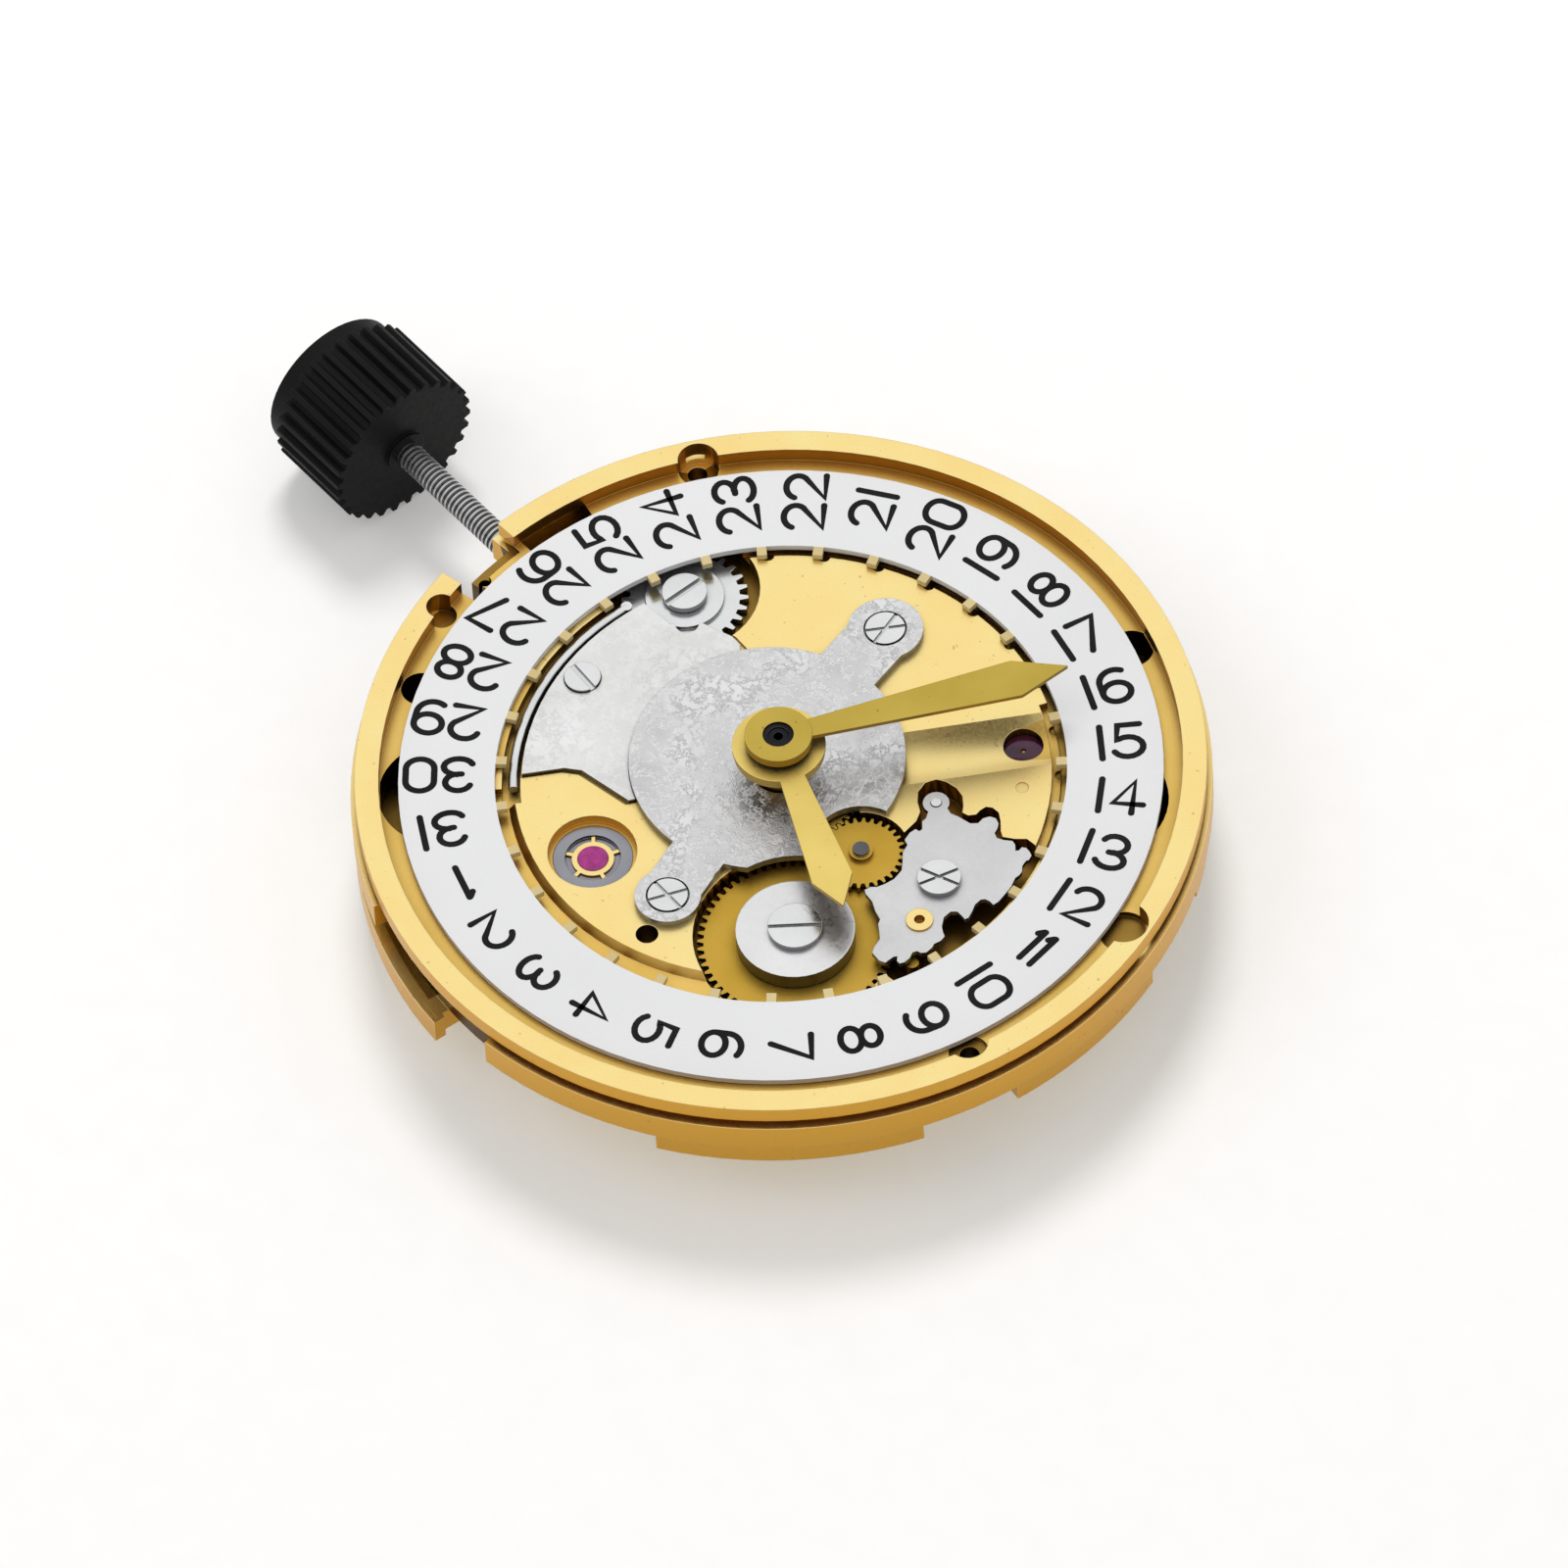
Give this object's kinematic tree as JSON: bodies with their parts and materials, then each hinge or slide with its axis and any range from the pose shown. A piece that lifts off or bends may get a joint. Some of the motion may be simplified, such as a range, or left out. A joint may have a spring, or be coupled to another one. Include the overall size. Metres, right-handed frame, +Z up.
{
  "type": "automatic watch movement",
  "caption": "Round self-winding watch movement with date ring, hour and minute hands, winding stem and ridged crown, seen dial side up.",
  "frame": {"origin": "axis of the hands at the dial seat, the flat top of the casing lip", "axes": "+Z up through the hands, dial side; +X out along the winding stem; +Y towards twelve o'clock"},
  "size_m": [0.0348, 0.0259, 0.0063],
  "materials": {
    "gilt_plate": "fine matte gilt",
    "silver_steel": "polished and lightly grained steel",
    "frosted_steel": "frosted nickel-white steel",
    "wheel_brass": "matte brass",
    "hand_brass": "matte brushed brass",
    "dark_steel": "dark hardened steel",
    "blued_spring": "thin spring alloy",
    "bridge_nickel": "nickel-plated brass, fine matte",
    "ruby": "polished synthetic ruby",
    "date_white": "matte white with black numbers",
    "black_crown": "matte black"
  },
  "bodies": {
    "frame": {"main_plate": "gilt_plate", "date_keeper_plate": "frosted_steel", "keyless_cover": "frosted_steel", "yoke_spring": "silver_steel", "dial_side_screws": "silver_steel", "date_wheel_washer": "silver_steel", "date_jumper_plate": "frosted_steel", "date_jumper": "wheel_brass", "jumper_eyelet": "gilt_plate", "shock_blocks": "silver_steel", "shock_springs": "gilt_plate", "bearing_jewels": "ruby", "hairspring": "blued_spring", "balance_cock": "bridge_nickel", "regulator": "silver_steel", "barrel_bridge": "bridge_nickel", "train_bridge": "bridge_nickel", "pallet_bridge": "bridge_nickel", "bridge_screws": "silver_steel", "automatic_bridge": "bridge_nickel", "rotor_bearing": "silver_steel"},
    "date_ring_body": {"date_ring": "date_white"},
    "setting_wheel_body": {"setting_wheel": "silver_steel"},
    "intermediate_setting_wheel_body": {"intermediate_setting_wheel": "silver_steel"},
    "intermediate_date_wheel_body": {"intermediate_date_wheel": "wheel_brass"},
    "date_driving_wheel_body": {"date_driving_wheel": "wheel_brass"},
    "hour_body": {"hour_wheel": "wheel_brass", "hour_hand": "hand_brass"},
    "minute_body": {"cannon_pinion": "dark_steel", "minute_hand": "hand_brass"},
    "minute_wheel_body": {"minute_wheel": "wheel_brass"},
    "driving_wheel_body": {"driving_wheel": "wheel_brass"},
    "seconds_body": {"seconds_wheel": "wheel_brass"},
    "third_body": {"third_wheel": "wheel_brass"},
    "great_body": {"great_wheel": "wheel_brass"},
    "escape_body": {"escape_wheel": "wheel_brass"},
    "pallet_body": {"pallet_fork": "silver_steel", "pallet_stones": "ruby"},
    "balance_body": {"balance_wheel": "gilt_plate", "balance_roller": "silver_steel"},
    "barrel_body": {"barrel_drum": "wheel_brass", "barrel_cover": "wheel_brass", "mainspring": "dark_steel"},
    "ratchet_body": {"barrel_arbor": "silver_steel", "ratchet_wheel": "silver_steel", "ratchet_screw": "silver_steel"},
    "crown_wheel_body": {"crown_wheel": "silver_steel"},
    "click_body": {"click": "silver_steel"},
    "driver_body": {"ratchet_driving_gear": "silver_steel"},
    "reduction_body": {"reduction_wheel": "wheel_brass"},
    "reversing_pinion_body": {"reversing_pinion": "dark_steel"},
    "reversing_1_body": {"reversing_wheel_1": "silver_steel"},
    "reversing_2_body": {"reversing_wheel_2": "silver_steel"},
    "rotor_body": {"rotor": "silver_steel"},
    "winding_pinion_body": {"winding_pinion": "silver_steel"},
    "stem_body": {"winding_stem": "silver_steel", "crown": "black_crown"},
    "sliding_pinion_body": {"sliding_pinion": "silver_steel"},
    "setting_lever_body": {"setting_lever": "silver_steel"},
    "yoke_body": {"yoke": "silver_steel"}
  },
  "joints": [
    {"name": "minute_turn", "type": "hinge", "parent": "frame", "child": "minute_body", "pos_m": [0, 0, 0.0014], "axis": [0, 0, 1], "continuous": true},
    {"name": "hour_turn", "type": "hinge", "parent": "frame", "child": "hour_body", "pos_m": [0, 0, 0.0009], "axis": [0, 0, 1], "continuous": true},
    {"name": "minute_wheel_turn", "type": "hinge", "parent": "frame", "child": "minute_wheel_body", "pos_m": [0.00293, 0.00107, -0.001], "axis": [0, 0, 1], "continuous": true},
    {"name": "intermediate_setting_turn", "type": "hinge", "parent": "frame", "child": "intermediate_setting_wheel_body", "pos_m": [0.00573, -0.0003, -0.001], "axis": [0, 0, 1], "continuous": true},
    {"name": "setting_wheel_turn", "type": "hinge", "parent": "frame", "child": "setting_wheel_body", "pos_m": [0.0074, -0.0023, -0.001], "axis": [0, 0, 1], "continuous": true},
    {"name": "intermediate_date_turn", "type": "hinge", "parent": "frame", "child": "intermediate_date_wheel_body", "pos_m": [-0.00374, -0.00002, -0.0007], "axis": [0, 0, 1], "continuous": true},
    {"name": "date_driving_turn", "type": "hinge", "parent": "frame", "child": "date_driving_wheel_body", "pos_m": [-0.00483, 0.00341, -0.0009], "axis": [0, 0, 1], "continuous": true},
    {"name": "date_ring_turn", "type": "hinge", "parent": "frame", "child": "date_ring_body", "pos_m": [0, 0, -0.00038], "axis": [0, 0, 1], "continuous": true},
    {"name": "seconds_turn", "type": "hinge", "parent": "frame", "child": "seconds_body", "pos_m": [0, 0, -0.00275], "axis": [0, 0, 1], "continuous": true},
    {"name": "third_turn", "type": "hinge", "parent": "frame", "child": "third_body", "pos_m": [-0.00297, -0.00074, -0.00308], "axis": [0, 0, 1], "continuous": true},
    {"name": "great_turn", "type": "hinge", "parent": "frame", "child": "great_body", "pos_m": [-0.00096, -0.00305, -0.0029], "axis": [0, 0, 1], "continuous": true},
    {"name": "barrel_turn", "type": "hinge", "parent": "frame", "child": "barrel_body", "pos_m": [0.00366, -0.00585, -0.002], "axis": [0, 0, 1], "continuous": true},
    {"name": "driving_wheel_turn", "type": "hinge", "parent": "frame", "child": "driving_wheel_body", "pos_m": [0, 0, -0.0026], "axis": [0, 0, 1], "continuous": true},
    {"name": "escape_turn", "type": "hinge", "parent": "frame", "child": "escape_body", "pos_m": [-0.00165, 0.0024, -0.0024], "axis": [0, 0, 1], "continuous": true},
    {"name": "pallet_swing", "type": "hinge", "parent": "frame", "child": "pallet_body", "pos_m": [-0.00029, 0.00395, -0.0023], "axis": [0, 0, 1], "range_deg": [-5, 5]},
    {"name": "balance_swing", "type": "hinge", "parent": "frame", "child": "balance_body", "pos_m": [0.00155, 0.00605, -0.003], "axis": [0, 0, 1], "range_deg": [-270, 270]},
    {"name": "crown_turn", "type": "hinge", "parent": "frame", "child": "winding_pinion_body", "pos_m": [0.008, 0, -0.00205], "axis": [1, 0, 0], "continuous": true},
    {"name": "crown_wheel_turn", "type": "hinge", "parent": "frame", "child": "crown_wheel_body", "pos_m": [0.00582, 0, -0.00305], "axis": [0, 0, 1], "continuous": true},
    {"name": "ratchet_turn", "type": "hinge", "parent": "frame", "child": "ratchet_body", "pos_m": [0.00366, -0.00585, -0.00305], "axis": [0, 0, 1], "continuous": true},
    {"name": "driver_turn", "type": "hinge", "parent": "frame", "child": "driver_body", "pos_m": [-0.00183, -0.00648, -0.00305], "axis": [0, 0, 1], "continuous": true},
    {"name": "reduction_turn", "type": "hinge", "parent": "frame", "child": "reduction_body", "pos_m": [-0.0038, -0.0063, -0.00305], "axis": [0, 0, 1], "continuous": true},
    {"name": "reversing_pinion_turn", "type": "hinge", "parent": "frame", "child": "reversing_pinion_body", "pos_m": [-0.0024, -0.00388, -0.0036], "axis": [0, 0, 1], "continuous": true},
    {"name": "rotor_turn", "type": "hinge", "parent": "frame", "child": "rotor_body", "pos_m": [0, 0, -0.0042], "axis": [0, 0, 1], "continuous": true},
    {"name": "reversing_1_turn", "type": "hinge", "parent": "frame", "child": "reversing_1_body", "pos_m": [0.00064, -0.00387, -0.004], "axis": [0, 0, 1], "continuous": true},
    {"name": "reversing_2_turn", "type": "hinge", "parent": "frame", "child": "reversing_2_body", "pos_m": [-0.0024, -0.00388, -0.004], "axis": [0, 0, 1], "continuous": true},
    {"name": "click_lift", "type": "hinge", "parent": "frame", "child": "click_body", "pos_m": [0.00794, -0.00338, -0.00305], "axis": [0, 0, 1], "range_deg": [-12, 0]},
    {"name": "crown_pull", "type": "slide", "parent": "winding_pinion_body", "child": "stem_body", "axis": [1, 0, 0], "range_m": [0, 0.0009]},
    {"name": "sliding_pinion_shift", "type": "slide", "parent": "winding_pinion_body", "child": "sliding_pinion_body", "axis": [-1, 0, 0], "range_m": [0, 0.0005]},
    {"name": "setting_lever_turn", "type": "hinge", "parent": "frame", "child": "setting_lever_body", "pos_m": [0.0099, 0.0026, -0.0013], "axis": [0, 0, 1], "range_deg": [0, 20.47]},
    {"name": "yoke_turn", "type": "hinge", "parent": "frame", "child": "yoke_body", "pos_m": [0.0046, 0.0035, -0.0013], "axis": [0, 0, 1], "range_deg": [-8.73, 0]}
  ],
  "couplings": [
    {"joint": "hour_turn", "follows": "minute_turn", "ratio": 0.083333},
    {"joint": "minute_wheel_turn", "follows": "minute_turn", "ratio": -0.33333},
    {"joint": "intermediate_setting_turn", "follows": "minute_turn", "ratio": 1},
    {"joint": "setting_wheel_turn", "follows": "minute_turn", "ratio": -0.42857},
    {"joint": "intermediate_date_turn", "follows": "minute_turn", "ratio": -0.16667},
    {"joint": "date_driving_turn", "follows": "minute_turn", "ratio": 0.041667},
    {"joint": "third_turn", "follows": "seconds_turn", "ratio": -0.125},
    {"joint": "great_turn", "follows": "seconds_turn", "ratio": 0.016667},
    {"joint": "barrel_turn", "follows": "seconds_turn", "ratio": -0.0020833},
    {"joint": "driving_wheel_turn", "follows": "seconds_turn", "ratio": 0.016667},
    {"joint": "escape_turn", "follows": "seconds_turn", "ratio": -12},
    {"joint": "crown_wheel_turn", "follows": "crown_turn", "ratio": 0.5},
    {"joint": "ratchet_turn", "follows": "crown_turn", "ratio": -0.24286},
    {"joint": "driver_turn", "follows": "crown_turn", "ratio": 0.77273},
    {"joint": "reduction_turn", "follows": "crown_turn", "ratio": -1.5455},
    {"joint": "reversing_pinion_turn", "follows": "crown_turn", "ratio": 9.2727},
    {"joint": "reversing_1_turn", "follows": "rotor_turn", "ratio": -1.5789},
    {"joint": "reversing_2_turn", "follows": "rotor_turn", "ratio": 1.5789},
    {"joint": "sliding_pinion_shift", "follows": "crown_pull", "ratio": 0.55556},
    {"joint": "setting_lever_turn", "follows": "crown_pull", "rad_per_m": 396.04},
    {"joint": "yoke_turn", "follows": "crown_pull", "rad_per_m": -168.35}
  ]
}
